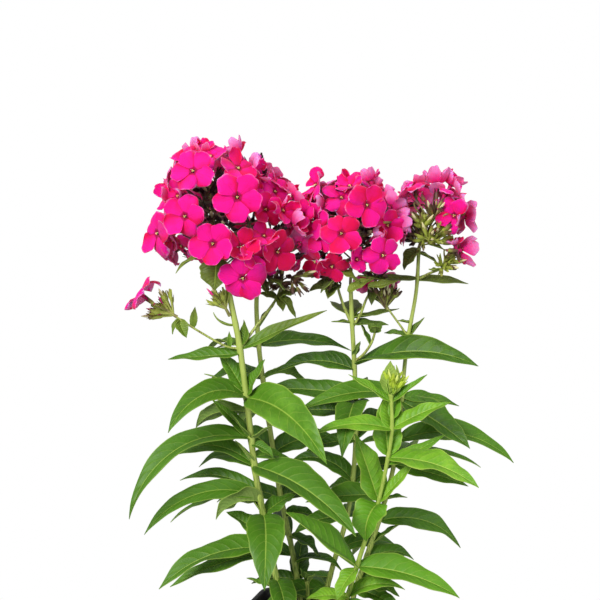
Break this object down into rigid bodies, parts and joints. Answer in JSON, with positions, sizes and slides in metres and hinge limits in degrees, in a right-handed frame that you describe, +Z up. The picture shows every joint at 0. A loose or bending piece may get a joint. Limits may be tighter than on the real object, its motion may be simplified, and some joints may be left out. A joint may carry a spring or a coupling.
{
  "type": "potted phlox plant",
  "caption": "Garden phlox with magenta flower heads on tall leafy stems, growing in a plain black square nursery pot filled with potting mix; stands on its base.",
  "frame": {"origin": "middle of the pot's flat underside", "axes": "+Z up; +X along the row of flower heads, from the largest head to the smallest; +Y towards the back, away from the big hanging leaves; the pot's sides stand turned 20 degrees from X and Y"},
  "size_m": [0.2946, 0.1765, 0.4743],
  "materials": {
    "pot_plastic": "satin",
    "potting_mix": "matte",
    "leaf_green": "satin",
    "young_green": "satin",
    "petal_pink": "matte",
    "bud_green": "matte",
    "dead_leaf": "matte"
  },
  "bodies": {
    "root": {"pot": "pot_plastic", "soil": "potting_mix", "stem_left": "leaf_green", "stem_back": "leaf_green", "stem_middle": "leaf_green", "stem_right": "leaf_green", "shoot_front": "young_green", "shoot_low": "leaf_green", "head_left": "petal_pink", "head_middle": "petal_pink", "head_right": "petal_pink", "spray_left": "petal_pink", "spray_right": "petal_pink", "spray_centre": "bud_green", "buds_left": "bud_green", "fallen_leaf": "dead_leaf"}
  },
  "joints": []
}
